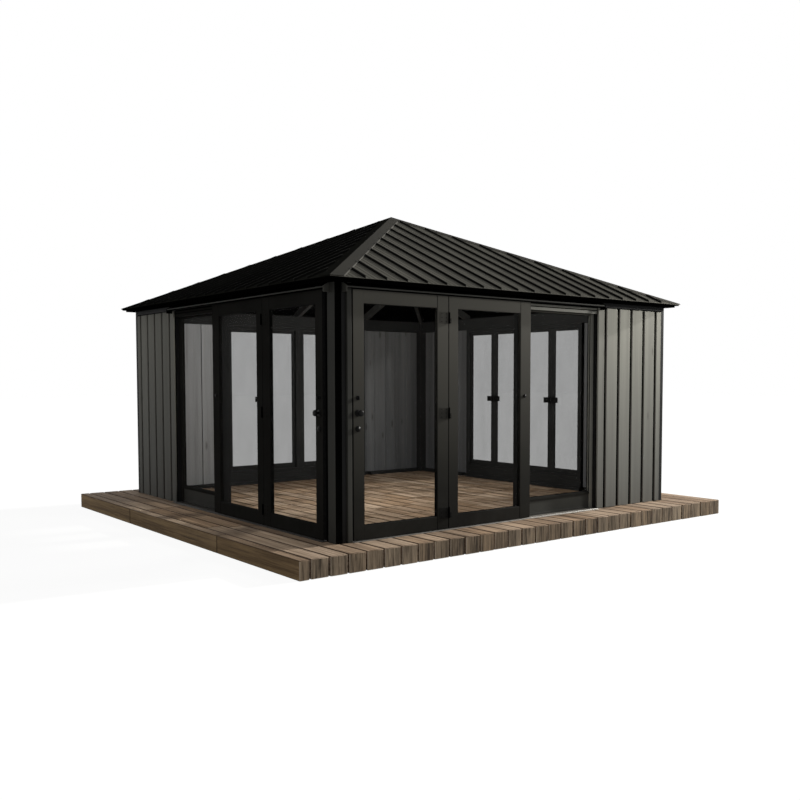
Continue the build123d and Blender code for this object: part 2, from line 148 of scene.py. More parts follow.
floor_mix = node(floor_tree, "ShaderNodeMixShader", floor_parts)
node(floor_tree, "ShaderNodeOutputMaterial", {"Surface": floor_mix.outputs[0]})
floor.data.materials.append(floor_paint)

# Deck: softwood timbers laid front to back on the ground, short and staggered in the room and longer beside
# it, with dark packers low in the joints. Their sawn ends make the front edge, some of them a little proud.
half = 2.1
pod_side = 2 * half
deck_low, deck_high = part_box("deck_platform")
deck_top = deck_high.z
timber_pitch = 0.167
timber_joint = 0.011
timber_length = 0.46
long_timber = 1.7
first_lengths = (0.8, 1.1)
later_lengths = (0.8, 1.2)
timber_chamfer = 0.006
end_stagger = 0.007
end_depth = 0.02
wane = 0.005
packer_gap = 0.0005
packer_foot = 0.001
packer_drop = 0.05
packer_inset = 0.03
thin_edge = 0.001
level_normal = 0.9
turned_normal = 0.3
plain_tone = 0.5
choice = random.Random(7)


def start_mesh():
    """An empty mesh whose faces carry a tone for each board and mark the eased edges."""
    mesh = bmesh.new()
    mesh.faces.layers.float.new("tone")
    mesh.faces.layers.float.new("edge")
    return mesh


def mark(mesh, faces, tone, edge, material=None):
    """Give faces their tone and edge mark, and a material."""
    for face in faces:
        face[mesh.faces.layers.float["tone"]] = tone
        face[mesh.faces.layers.float["edge"]] = edge
        face.smooth = edge > 0
        if material is not None:
            face.material_index = material


def bevel(mesh, edges, chamfer):
    """The faces that round off some edges."""
    shape = {"affect": "EDGES", "segments": 2, "profile": 0.5, "material": -1}
    return bmesh.ops.bevel(mesh, geom=edges, offset=chamfer, **shape)["faces"]


def ease(mesh, corners, chamfer, material, tone=plain_tone):
    """Round the edges of a shape that was just made."""
    faces = list(dict.fromkeys(face for corner in corners for face in corner.link_faces))
    edges = list(dict.fromkeys(edge for corner in corners for edge in corner.link_edges))
    mark(mesh, faces, tone, 0, material)
    mark(mesh, bevel(mesh, edges, chamfer), tone, 1, material)


def bar(mesh, low, high, chamfer, place, material=0, tone=plain_tone):
    """A straight bar or board between two corners, with eased edges."""
    size = [b - a for a, b in zip(low, high)]
    middle = [(a + b) / 2 for a, b in zip(low, high)]
    shape = place @ Matrix.Translation(middle) @ Matrix.Diagonal((*size, 1))
    corners = bmesh.ops.create_cube(mesh, size=1, matrix=shape)["verts"]
    ease(mesh, corners, chamfer, material, tone)


def piece(name, mesh, finishes, slot, *nodes, body="pod"):
    """Make the mesh an object that rides on a body and stands for CAD nodes."""
    bmesh.ops.recalc_face_normals(mesh, faces=mesh.faces)
    data = bpy.data.meshes.new(name)
    mesh.to_mesh(data)
    mesh.free()
    for finish in finishes:
        data.materials.append(finish)
    made = bpy.data.objects.new(name, data)
    scene.collection.objects.link(made)
    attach(made, body)
    if nodes:
        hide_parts(*nodes)


def new_finish(name, roughness, specular):
    """A material with a principled shader, ready for its pattern."""
    finish, tree = new_material(name)
    shader = node(tree, "ShaderNodeBsdfPrincipled", {"Roughness": roughness, "Specular IOR Level": specular})
    node(tree, "ShaderNodeOutputMaterial", {"Surface": shader.outputs[0]})
    return finish, tree, shader


def paint(tree, shader, colour, roughness=None):
    """Give a shader its colour and, where that varies, its roughness."""
    tree.links.new(colour, shader.inputs["Base Color"])
    if roughness is not None:
        tree.links.new(roughness, shader.inputs["Roughness"])


def bump(tree, shader, height, strength, depth):
    """Raise the surface by a height pattern."""
    made = node(tree, "ShaderNodeBump", {"Height": height, "Strength": strength, "Distance": depth})
    tree.links.new(made.outputs[0], shader.inputs["Normal"])


def scaled_place(tree, scale=(1, 1, 1)):
    """Object coordinates stretched by a scale for each axis."""
    place = node(tree, "ShaderNodeTexCoord").outputs["Object"]
    return node(tree, "ShaderNodeVectorMath", {0: place, 1: scale}, operation="MULTIPLY").outputs[0]


def noise(tree, place, scale, detail, roughness):
    """The value of a noise pattern."""
    settings = {"Vector": place, "Scale": scale, "Detail": detail, "Roughness": roughness}
    return node(tree, "ShaderNodeTexNoise", settings).outputs[0]


def times(tree, first, second):
    """Two values multiplied."""
    return math_node(tree, "MULTIPLY", first, second)


def blend(tree, share, first, second, way="MIX"):
    """One colour mixed with another."""
    inputs = {0: share, 6: first, 7: second}
    return node(tree, "ShaderNodeMix", inputs, data_type="RGBA", blend_type=way).outputs[2]


def tinted(tree, share, colour, tint):
    """A colour multiplied by a tint over a share of the surface."""
    return blend(tree, share, colour, blend(tree, 1.0, colour, tint, "MULTIPLY"))


def face_mark(tree, name):
    """A value that the mesh's faces carry."""
    return node(tree, "ShaderNodeAttribute", attribute_name=name).outputs["Fac"]


def new_group(name, inputs, outputs):
    """A group of shader nodes with its sockets, and the values that it is given."""
    tree = bpy.data.node_groups.new(name, "ShaderNodeTree")
    for socket, kind in inputs.items():
        tree.interface.new_socket(name=socket, in_out="INPUT", socket_type=kind)
    for socket in outputs:
        tree.interface.new_socket(name=socket, in_out="OUTPUT", socket_type="NodeSocketFloat")
    return tree, node(tree, "NodeGroupInput").outputs


def grain_group():
    """Sawn grain: broad streaks, fine fibres and dark checks along the board, different for each board."""
    inputs = {"Place": "NodeSocketVector", "Board": "NodeSocketFloat"}
    tree, given = new_group("timber_grain", inputs, ("Streak", "Fibre", "Check"))
    jump = {0: (31.7, 17.3, 23.9), "Scale": given["Board"]}
    moved = node(tree, "ShaderNodeVectorMath", jump, operation="SCALE").outputs[0]
    place = node(tree, "ShaderNodeVectorMath", {0: given["Place"], 1: moved}, operation="ADD").outputs[0]
    outputs = {
        "Streak": noise(tree, place, 0.22, 3.0, 0.5),
        "Fibre": noise(tree, place, 1.0, 6.0, 0.7),
        "Check": spread(tree, noise(tree, place, 0.62, 5.0, 0.62), 0.6, 0.72),
    }
    node(tree, "NodeGroupOutput", outputs)
    return tree


timber_grain = grain_group()


def grain(tree, scale):
    """The sawn grain at a scale, for the board that a face belongs to."""
    inputs = {"Place": scaled_place(tree, scale), "Board": face_mark(tree, "tone")}
    return node(tree, "ShaderNodeGroup", inputs, node_tree=timber_grain).outputs


def grain_mix(tree, pattern, streak_share, span):
    """Streaks and fibres of the grain as one share from 0 to 1, with more contrast for a smaller span."""
    streaks = times(tree, pattern["Streak"], streak_share)
    fibres = times(tree, pattern["Fibre"], 1 - streak_share)
    return spread(tree, math_node(tree, "ADD", streaks, fibres), 0.5 - span, 0.5 + span)


def deck_finish(name, scale, brown, pale, edge_colour):
    """Weathered softwood: brown to pale from timber to timber, with dark checks and marked edges."""
    finish, tree, shader = new_finish(name, 0.8, 0.15)
    pattern = grain(tree, scale)
    share = grain_mix(tree, pattern, 0.4, 0.1)
    colour = blend(tree, face_mark(tree, "tone"), blend(tree, share, *brown), blend(tree, share, *pale))
    colour = blend(tree, times(tree, pattern["Check"], 0.8), colour, (0.03, 0.02, 0.013))
    patches = noise(tree, scaled_place(tree, (1, 0.6, 1)), 2.2, 4.0, 0.6)
    colour = tinted(tree, spread(tree, patches, 0.5, 0.7, 0.0, 0.45), colour, (0.45, 0.43, 0.42))
    fibres = spread(tree, pattern["Fibre"], 0.4, 0.6, 0.5, 0.95)
    colour = blend(tree, times(tree, face_mark(tree, "edge"), fibres), colour, edge_colour)
    paint(tree, shader, colour, spread(tree, pattern["Fibre"], 0.3, 0.7, 0.68, 0.92))
    bump(tree, shader, math_node(tree, "SUBTRACT", pattern["Fibre"], pattern["Check"]), 0.5, 0.002)
    return finish


along_grain = (52, 1.5, 52)
end_grain = (52, 52, 3.2)
top_brown = ((0.098, 0.061, 0.036), (0.365, 0.25, 0.162))
top_pale = ((0.155, 0.107, 0.07), (0.47, 0.36, 0.268))
end_brown = ((0.03, 0.02, 0.012), (0.28, 0.203, 0.132))
end_pale = ((0.055, 0.04, 0.026), (0.37, 0.29, 0.208))
side_brown = ((0.09, 0.053, 0.024), (0.33, 0.215, 0.108))
side_pale = ((0.13, 0.083, 0.041), (0.42, 0.295, 0.165))
packer_brown = ((0.012, 0.008, 0.005), (0.028, 0.019, 0.012))
# The last colour of each finish is for the eased edges: dark on the top timbers, and pale on the ends as a
# painted highlight.
timbers = [
    deck_finish("deck_timber_finish", along_grain, top_brown, top_pale, (0.028, 0.018, 0.011)),
    deck_finish("deck_end_finish", end_grain, end_brown, end_pale, (0.58, 0.48, 0.37)),
    deck_finish("deck_side_finish", along_grain, side_brown, side_pale, (0.02, 0.013, 0.008)),
    deck_finish("deck_packer_finish", along_grain, packer_brown, packer_brown, packer_brown[0]),
]
top_timber, end_timber, side_timber, packer_timber = range(len(timbers))
world_place = Matrix.Identity(4)
deck = start_mesh()


def packer(x_low, x_high, y_low, y_high):
    """A strip of dark timber that packs the lower part of a joint."""
    low = (x_low + packer_gap, y_low + packer_gap, packer_foot)
    high = (x_high - packer_gap, y_high - packer_gap, deck_top - packer_drop)
    bar(deck, low, high, thin_edge, world_place, packer_timber)


for number in range(math.ceil((deck_high.x - deck_low.x) / timber_pitch)):
    right = deck_high.x - number * timber_pitch - timber_joint / 2
    left = max(right - timber_pitch + timber_joint, deck_low.x)
    if number == 0:
        right = deck_high.x
    under_room = abs(left + right) < pod_side
    length = timber_length if under_room else long_timber
    start = deck_low.y + choice.uniform(0, end_stagger)
    end = deck_low.y + length * choice.uniform(*first_lengths)
    while start < deck_high.y - timber_joint:
        end = min(end, deck_high.y)
        if deck_high.y - end < length / 4:
            end = deck_high.y
        high = (right, end, deck_top)
        bar(deck, (left, start, 0), high, timber_chamfer, world_place, top_timber, choice.random())
        start = end + timber_joint / 2
        if end < deck_high.y:
            packer(left + packer_inset, right - packer_inset, end, start)
        end = start + length * choice.uniform(*later_lengths)
    if left > deck_low.x:
        packer(left - timber_joint, left, deck_low.y + packer_inset, deck_high.y - packer_inset)
edge_mark = deck.faces.layers.float["edge"]
deck.normal_update()
waned = set()
# At the front ends the left eased edges keep the end finish and its pale painted highlight. The right ones,
# widened by the wane, take the top finish, whose dark edge colour paints a shadow in the joint.
for face in deck.faces:
    middle = face.calc_center_median()
    if middle.y < deck_low.y + end_depth and abs(face.normal.z) < level_normal:
        face.material_index = end_timber
        if face.normal.x > turned_normal:
            face.material_index = top_timber
            waned.update(face.verts)
        if face.normal.z > turned_normal:
            face.material_index = top_timber
            face[edge_mark] = 0
    elif face.normal.x < -turned_normal and middle.x < deck_low.x + end_depth:
        face.material_index = side_timber
for corner in waned:
    corner.co.x -= wane
piece("deck_timbers", deck, timbers, "deck_timber", "deck_platform")

# Base rails and top beams: hollow aluminium sections, powder coated dark bronze, that tie the posts together
# at the deck and under the roof. The head bands are folded covers screwed to the beams outside.
seat = 0.0003
post_side = 0.15
post_nib = 0.046
bay_post_width = 0.09
board_depth = 0.028
beam_front = board_depth + seat
beam_back = beam_front + 0.09
beam_bottom = 1.97
beam_top = 2.115
head_bottom = 2.042
band_front = 0.003
band_lip_depth = 0.006
band_lip_height = 0.012
base_rail_height = 0.042
clad_start = 3.138
window_start = 1.08
window_end = pod_side - window_start
bar_edge = 0.0025
fine_edge = 0.0015

# u along a wall, v in through it and z up from the deck
walls = {
    "front": Matrix(((1, 0, 0, -half), (0, 1, 0, -half), (0, 0, 1, deck_top), (0, 0, 0, 1))),
    "left": Matrix(((0, 1, 0, -half), (1, 0, 0, -half), (0, 0, 1, deck_top), (0, 0, 0, 1))),
    "back": Matrix(((1, 0, 0, -half), (0, -1, 0, half), (0, 0, 1, deck_top), (0, 0, 0, 1))),
    "right": Matrix(((0, -1, 0, half), (1, 0, 0, -half), (0, 0, 1, deck_top), (0, 0, 0, 1))),
}
glazed_walls = ("front", "left")
window_walls = ("back", "right")


def coat_group():
    """Powder coat: slow drifts in tone, the pebble of the baked paint, dust that settles low, and a ramp up
    with height for a painted highlight.
    """
    inputs = {"Place": "NodeSocketVector"}
    tree, given = new_group("powder_coat", inputs, ("Drift", "Pebble", "Dust", "Fade"))
    place = given["Place"]
    height = node(tree, "ShaderNodeSeparateXYZ", {0: place}).outputs[2]
    low = spread(tree, height, 0.15, 0.75, 1.0, 0.0)
    patches = spread(tree, noise(tree, place, 9.0, 5.0, 0.6), 0.42, 0.68)
    outputs = {
        "Drift": noise(tree, place, 1.7, 3.0, 0.5),
        "Pebble": noise(tree, place, 420.0, 2.0, 0.5),
        "Dust": times(tree, low, patches),
        "Fade": spread(tree, height, 0.5, 2.3),
    }
    node(tree, "NodeGroupOutput", outputs)
    return tree


powder_coat = coat_group()


def coat_finish(name, dark, light, roughness, specular, top_highlight=0.0):
    """Baked paint on metal, worn on its edges and dusty near the ground, with a painted highlight higher up.
    """
    finish, tree, shader = new_finish(name, roughness, specular)
    place = node(tree, "ShaderNodeTexCoord").outputs["Object"]
    pattern = node(tree, "ShaderNodeGroup", {"Place": place}, node_tree=powder_coat).outputs
    colour = blend(tree, spread(tree, pattern["Drift"], 0.35, 0.65), dark, light)
    # Painted highlight: the coat is lightened higher up by the given share, standing in for light.
    colour = blend(tree, times(tree, pattern["Fade"], top_highlight), colour, (0.115, 0.111, 0.097))
    colour = tinted(tree, times(tree, face_mark(tree, "edge"), 0.3), colour, (1.9, 1.9, 1.9))
    dusty = [0.6 * part + 0.025 for part in light]
    colour = blend(tree, times(tree, pattern["Dust"], 0.2), colour, dusty)
    paint(tree, shader, colour, spread(tree, pattern["Drift"], 0.3, 0.7, roughness - 0.07, roughness + 0.07))
    bump(tree, shader, pattern["Pebble"], 0.12, 0.0004)
    return finish


bronze = coat_finish("bronze_coat", (0.018, 0.0183, 0.0183), (0.0252, 0.0256, 0.0256), 0.5, 0.03)
rail_end = pod_side - post_side - seat
side_rail_start = window_end + bay_post_width + seat
glazed_rails = ((clad_start + bay_post_width + seat, rail_end),)
window_rails = (
    (side_rail_start, rail_end),
    (pod_side - rail_end, pod_side - side_rail_start),
    (window_start + seat, window_end - seat),
)
rails = start_mesh()
for wall, place in walls.items():
    for start, end in glazed_rails if wall in glazed_walls else window_rails:
        bar(rails, (start, beam_front, seat), (end, beam_back, base_rail_height), bar_edge, place)
piece("base_rail_set", rails, [bronze], "dark_frame", "base_rails")

beams = start_mesh()
for place in walls.values():
    bar(beams, (post_side + seat, beam_front, beam_bottom), (rail_end, beam_back, beam_top), bar_edge, place)
piece("top_beam_set", beams, [bronze], "dark_frame", "top_beams")

band_end = pod_side - post_nib - seat
bands = start_mesh()
for wall, place in walls.items():
    start = (post_side if wall in glazed_walls else post_nib) + seat
    bar(bands, (start, band_front, head_bottom), (band_end, board_depth, beam_top), bar_edge, place)
    lip_high = (band_end, band_lip_depth, head_bottom + band_lip_height)
    bar(bands, (start, 0, head_bottom), lip_high, fine_edge, place)
piece("head_band_set", bands, [bronze], "dark_frame", "head_bands")

# Posts: hollow aluminium sections standing on the deck. The near corner post carries clip-on covers with a
# channel between them and a jamb strip beside the door. Its core and channel are flat black as a painted
# shade, and the jamb strip's paler grey coat is a painted highlight. The clad corners show only a slim nib.
cover_width = 0.113
channel_width = 0.062
cover_depth = 0.012
cover_gap = 0.003
core_inset = 0.008
jamb_start = 0.104
jamb_end = 0.146
jamb_back = 0.06
leaf_front = -0.02
# A flat black, used for parts that are black and also as painted shade in the post channel, the fixed-light
# groove, the hoods and the eaves.
black_and_shade_coat = coat_finish("black_and_painted_shade_coat", (0.0014, 0.0014, 0.0014), (0.0024, 0.0024, 0.0024), 0.8, 0.0)
# A paler grey coat for covers and kick panels, also used as a painted highlight on the jamb strip and hood
# noses.
grey_and_highlight_coat = coat_finish("grey_and_painted_highlight_coat", (0.043, 0.0432, 0.0395), (0.055, 0.0552, 0.0505), 0.55, 0.03)
front_place = walls["front"]
near_bars = (
    ((core_inset, core_inset), (post_side, post_side), 1),
    ((0, 0), (channel_width, cover_gap), 1),
    ((0, cover_gap), (cover_depth, cover_width), 2),
    ((channel_width, 0), (jamb_start - cover_gap, cover_depth), 0),
    ((jamb_start, leaf_front), (jamb_end, jamb_back), 2),
)
near_post = start_mesh()
for low, high, material in near_bars:
    chamfer = min(bar_edge, 0.4 * (high[1] - low[1]))
    bar(near_post, (*low, seat), (*high, beam_top), chamfer, front_place, material)
piece("near_post_set", near_post, [bronze, black_and_shade_coat, grey_and_highlight_coat], "dark_frame", "near_corner_post")

corner_start = pod_side - post_side
corner_end = pod_side - beam_front
corner_posts = start_mesh()
for turns in range(3):
    place = Matrix.Rotation(turns * math.pi / 2, 4, "Z") @ front_place
    bar(corner_posts, (corner_start, beam_front, seat), (corner_end, post_side, beam_top), bar_edge, place)
    bar(corner_posts, (pod_side - post_nib, 0, seat), (pod_side, post_nib, beam_top), bar_edge, place)
piece("clad_corner_post_set", corner_posts, [bronze], "dark_frame", "clad_corner_posts")

side_leaf_end = 2.158
leaf_back = 0.022
threshold_height = 0.006
panel_depth = 0.06
lining_depth = 0.014
post_head = beam_bottom - seat
bay_posts = start_mesh()
for wall in glazed_walls:
    low = (side_leaf_end - bay_post_width, leaf_back + seat, threshold_height + seat)
    bar(bay_posts, low, (side_leaf_end, beam_back, post_head), bar_edge, walls[wall])
    high = (clad_start + bay_post_width, beam_back, post_head)
    bar(bay_posts, (clad_start, beam_front, seat), high, bar_edge, walls[wall])
for wall in window_walls:
    for start in (window_end, window_start - bay_post_width):
        high = (start + bay_post_width, panel_depth - lining_depth - seat, post_head)
        bar(bay_posts, (start, beam_front, seat), high, bar_edge, walls[wall])
piece("bay_post_set", bay_posts, [bronze], "dark_frame", "bay_posts")

# Cladding: upright planed boards, stained grey and nailed over black battens with wide open joints.
# Inside, lining boards stained charcoal cover the same bays, wider and paler ones in the back left bay.
board_pitch = 0.202
board_joint = 0.038
corner_joint = 0.142
board_top = 2.032
batten_front = 0.018
board_chamfer = 0.005
lining_pitch = 0.202
lining_joint = 0.0015
wide_pitch = 0.31
wide_joint = 0.008
broad_edge = 0.003


def board_finish(name, colours, low_tint, scale):
    """Stained boards with upright grain, cooler and darker towards the ground."""
    finish, tree, shader = new_finish(name, 0.75, 0.1)
    pattern = grain(tree, scale)
    colour = blend(tree, grain_mix(tree, pattern, 0.6, 0.14), *colours)
    shade = spread(tree, face_mark(tree, "tone"), 0.0, 1.0, 0.9, 1.1)
    shade_colour = node(tree, "ShaderNodeCombineColor", {0: shade, 1: shade, 2: shade}).outputs[0]
    colour = blend(tree, 1.0, colour, shade_colour, "MULTIPLY")
    height = node(tree, "ShaderNodeSeparateXYZ", {0: scaled_place(tree)}).outputs[2]
    colour = tinted(tree, spread(tree, height, 0.2, 2.1, 1.0, 0.0), colour, low_tint)
    cells = {"Vector": scaled_place(tree, (7, 7, 2.1)), "Scale": 1.0}
    knots = node(tree, "ShaderNodeTexVoronoi", cells).outputs["Distance"]
    dark = times(tree, spread(tree, knots, 0.05, 0.14, 1.0, 0.0), 0.6)
    colour = tinted(tree, dark, colour, (0.3, 0.28, 0.26))
    colour = tinted(tree, times(tree, pattern["Check"], 0.35), colour, (0.4, 0.38, 0.36))
    colour = tinted(tree, times(tree, face_mark(tree, "edge"), 0.35), colour, (1.35, 1.34, 1.32))
    paint(tree, shader, colour, spread(tree, pattern["Fibre"], 0.3, 0.7, 0.62, 0.88))
    bump(tree, shader, pattern["Fibre"], 0.35, 0.0012)
    return finish


grey_colours = ((0.193, 0.191, 0.169), (0.28, 0.277, 0.245))
# On the grey outside boards the darker, cooler foot is a painted shade.
grey_boards = board_finish("grey_board_finish", grey_colours, (0.56, 0.57, 0.6), (38, 38, 0.9))
lining_scale = (30, 30, 0.8)
charcoal_colours = ((0.085, 0.086, 0.088), (0.145, 0.146, 0.148))
charcoal_boards = board_finish("charcoal_board_finish", charcoal_colours, (0.9, 0.92, 0.96), lining_scale)
pale_colours = ((0.275, 0.28, 0.29), (0.385, 0.392, 0.405))
pale_boards = board_finish("pale_board_finish", pale_colours, (0.85, 0.85, 0.84), lining_scale)


def clad_bay(boards, lining, width, lining_lap, lining_front, place, flip=False, wide=False):
    """One bay of boards, battens and lining at the far end of a wall, or at its near end when flipped."""
    def laid(mesh, start, end, v_low, v_high, z_low, z_high, chamfer, material):
        if flip:
            start, end = pod_side - end, pod_side - start
        bar(mesh, (start, v_low, z_low), (end, v_high, z_high), chamfer, place, material, choice.random())

    start = pod_side - width
    end = pod_side - post_nib - seat
    laid(boards, start, end, batten_front, board_depth, seat, board_top, fine_edge, 1)
    joint = pod_side - corner_joint
    while end > start + board_joint:
        board_start = max(joint + board_joint / 2, start)
        laid(boards, board_start, end, 0, batten_front, seat, board_top, board_chamfer, 0)
        end = joint - board_joint / 2
        joint -= board_pitch
    lining_start = start + lining_lap + seat
    lining_end = pod_side - post_side - seat
    pitch, gap = (wide_pitch, wide_joint) if wide else (lining_pitch, lining_joint)
    count = round((lining_end - lining_start) / pitch)
    step = (lining_end - lining_start) / count
    heights = (base_rail_height + seat, beam_bottom - seat)
    for number in range(count):
        low = lining_start + number * step
        high = low + step - gap
        laid(lining, low, high, lining_front, panel_depth, *heights, broad_edge, 1 if wide else 0)


for wall in walls:
    boards = start_mesh()
    lining = start_mesh()
    if wall in glazed_walls:
        clad_bay(boards, lining, pod_side - clad_start, bay_post_width, board_depth, walls[wall])
        replaced = f"{wall}_wall_panel"
    else:
        for flip in (False, True):
            wide = wall == "back" and flip
            clad_bay(boards, lining, window_start, 0, panel_depth - lining_depth, walls[wall], flip, wide)
        replaced = f"{wall}_wall_panels"
    piece(f"{wall}_clad_boards", boards, [grey_boards, black_and_shade_coat], "grey_boards", replaced)
    piece(f"{wall}_lining_boards", lining, [charcoal_boards, pale_boards], "grey_boards")

# Thresholds: extruded aluminium strips screwed to the deck under the glazed bays, with low anti-slip treads.
# Mill finished, the one on the left much darker as a painted shade.
threshold_reach = 0.04
fixed_end = clad_start - seat
tread_count = 5
tread_margin = 0.006
tread_step = 0.008
tread_width = 0.003
tread_foot = 0.003
tread_rise = 0.0015
tread_inset = 0.004
bead_edge = 0.0008


def mill_finish(name, dark, light):
    """Aluminium as it leaves the press, finely brushed along its length."""
    finish, tree, shader = new_finish(name, 0.5, 0.2)
    shader.inputs["Metallic"].default_value = 0.3
    brushed = noise(tree, scaled_place(tree, (60, 60, 900)), 1.0, 4.0, 0.6)
    colour = blend(tree, spread(tree, brushed, 0.35, 0.65), dark, light)
    paint(tree, shader, colour, spread(tree, brushed, 0.3, 0.7, 0.32, 0.52))
    return finish


thresholds = start_mesh()
for material, wall in enumerate(glazed_walls):
    place = walls[wall]
    low = (post_side + seat, -threshold_reach, seat)
    bar(thresholds, low, (fixed_end, beam_back, threshold_height - tread_rise), thin_edge, place, material)
    for number in range(tread_count):
        v = -threshold_reach + tread_margin + number * tread_step
        tread_low = (low[0] + tread_inset, v, tread_foot)
        tread_high = (fixed_end - tread_inset, v + tread_width, threshold_height)
        bar(thresholds, tread_low, tread_high, bead_edge, place, material)
sills = [
    mill_finish("mill_aluminium", (0.17, 0.16, 0.145), (0.27, 0.255, 0.235)),
    mill_finish("painted_shade_aluminium", (0.03, 0.028, 0.025), (0.055, 0.051, 0.046)),
]
piece("threshold_strips", thresholds, sills, "threshold_metal", "door_thresholds")

# Glazed leaves: butt-jointed aluminium frames in bronze coat around sealed glass units, with snap-in beads
# and a black gasket on both faces. On each glazed wall the first leaf is the hinged door.
leaf_edge = 0.001
leaf_bottom = 0.012
leaf_top = 2.034
leaf_middle = 0.001
stile = 0.103
hinge_stile = 0.12
end_stile = 0.129
top_rail = 0.104
bottom_rail = 0.113
rail_joint = 0.007
end_seal = 0.002
seal_inset = 0.002
tenon_lap = 0.002
tenon_inset = 0.004
glass_thick = 0.02
glass_gap = 0.0004
trim_inset = 0.0005
bead_width = 0.003
bead_seat = 0.002
bead_recess = 0.004
gasket_width = 0.003
gasket_reach = 0.0055
seal_edge = 0.0005
door_start = 0.158
door_end = 1.152
side_leaf_start = 1.158

rubber, rubber_tree, rubber_shader = new_finish("gasket_rubber", 0.85, 0.1)
rubber_grain = noise(rubber_tree, scaled_place(rubber_tree), 60.0, 3.0, 0.6)
rubber_share = spread(rubber_tree, rubber_grain, 0.35, 0.65)
paint(rubber_tree, rubber_shader, blend(rubber_tree, rubber_share, (0.004,) * 3, (0.011,) * 3))
# Lit and shaded copies of one bronze: on the front it is lightened higher up as a painted highlight, on the
# left a painted-shade copy is used.
lit_bronze_colours = ((0.0125, 0.0121, 0.0106), (0.018, 0.0174, 0.0152))
painted_light_bronze = coat_finish("painted_light_bronze_coat", *lit_bronze_colours, 0.5, 0.03, 0.85)
painted_shade_bronze = coat_finish("painted_shade_bronze_coat", (0.018, 0.0177, 0.0162), (0.025, 0.0246, 0.0225), 0.6, 0.0)
leaf_coats = {"front": painted_light_bronze, "left": painted_shade_bronze}


def ring(mesh, low, high, widths, depth, chamfer, place, material=0, far_joint=seat):
    """Four bars around an opening: low and high are its outer corners in u and z, depth its range in v."""
    left, right, top, bottom = widths
    (u_low, z_low), (u_high, z_high) = low, high
    inner = (u_low + left + seat, u_high - right - far_joint)
    sides = (
        (u_low, u_low + left, z_low, z_high),
        (u_high - right, u_high, z_low, z_high),
        (*inner, z_high - top, z_high),
        (*inner, z_low, z_low + bottom),
    )
    for start, end, foot, head in sides:
        bar(mesh, (start, depth[0], foot), (end, depth[1], head), chamfer, place, material)


def glazing_trim(mesh, low, high, middle, thick, faces, place):
    """Beads and gaskets on both sides of a glass unit that fills the opening from low to high."""
    def trim(inset, width, depth, chamfer, material):
        start = (low[0] + inset, low[1] + inset)
        end = (high[0] - inset, high[1] - inset)
        ring(mesh, start, end, (width,) * 4, sorted(depth), chamfer, place, material)

    for face, side in zip(faces, (-1, 1)):
        glass_face = middle + side * (thick / 2 + glass_gap)
        inset = trim_inset
        if faces[1] - faces[0] > 2 * thick:
            depth = (glass_face + side * bead_seat, face - side * bead_recess)
            trim(inset, bead_width, depth, bead_edge, 0)
            inset += bead_width
        outside = min(glass_face + side * gasket_reach, face, key=lambda v: abs(v - glass_face))
        trim(inset, gasket_width, (glass_face, outside), seal_edge, 1)


def leaf(name, start, end, left, right, wall, replaced, body):
    """One glazed leaf: frame, beads, gaskets, end seals and an open joint at the far end of its rails."""
    mesh = start_mesh()
    place = walls[wall]
    faces = (leaf_front, leaf_back)
    widths = (left - end_seal, right - end_seal, top_rail, bottom_rail)
    outer = ((start + end_seal, leaf_bottom), (end - end_seal, leaf_top))
    ring(mesh, *outer, widths, faces, leaf_edge, place, 0, rail_joint)
    for seal_start in (start, end - end_seal):
        seal_low = (seal_start, leaf_front + seal_inset, leaf_bottom + seal_inset)
        seal_high = (seal_start + end_seal, leaf_back - seal_inset, leaf_top - seal_inset)
        bar(mesh, seal_low, seal_high, seal_edge, place, 1)
    low = (start + left, leaf_bottom + bottom_rail)
    high = (end - right, leaf_top - top_rail)
    for z_low, z_high in ((leaf_bottom, low[1]), (high[1], leaf_top)):
        tenon_low = (high[0] - rail_joint - tenon_lap, leaf_front + tenon_inset, z_low + tenon_lap)
        tenon_high = (high[0] + tenon_lap, leaf_back - tenon_inset, z_high - tenon_lap)
        bar(mesh, tenon_low, tenon_high, seal_edge, place, 1)
    glazing_trim(mesh, low, high, leaf_middle, glass_thick, faces, place)
    piece(name, mesh, [leaf_coats[wall], rubber], "dark_frame", replaced, body=body)


for wall in glazed_walls:
    door = (f"{wall}_door_leaf", door_start, door_end, stile, hinge_stile)
    leaf(*door, wall, f"{wall}_door_frame", f"{wall}_door")
    side = (f"{wall}_fixed_leaf", side_leaf_start, side_leaf_end, stile, end_stile)
    leaf(*side, wall, f"{wall}_side_leaf", "pod")

# Fixed lights: slim frames set back beside the leaves, over a flat kick panel, with two trim strips on the
# beam above them over a black bar, which paints the shade between and above the strips. The frames are
# coated like the leaves; on the front the strips and far stile are paler as painted light, and on the left
# they take the painted-shade bronze.
fixed_start = side_leaf_end + seat
fixed_recess = 0.063
fixed_back = fixed_recess + 0.045
fixed_stile = 0.045
fixed_top_rail = 0.012
fixed_rail = 0.025
fixed_foot = threshold_height + seat
fixed_head = beam_bottom - seat
kick_height = 0.144
kick_front = fixed_recess + 0.0115
kick_depth = 0.022
ledge_reach = 0.004
ledge_height = 0.02
strip_front = 0.02
strip_heights = ((2.009, 2.028), (beam_bottom + 0.001, 2.0))
groove_front = 0.025
groove_rise = 0.004
soft_edge = 0.002
painted_light_strip_coat = coat_finish("painted_light_head_strip_coat", (0.2, 0.199, 0.178), (0.25, 0.249, 0.224), 0.55, 0.05)
strip_coats = {"front": painted_light_strip_coat, "left": painted_shade_bronze}
rail_foot = fixed_foot + kick_height + seat
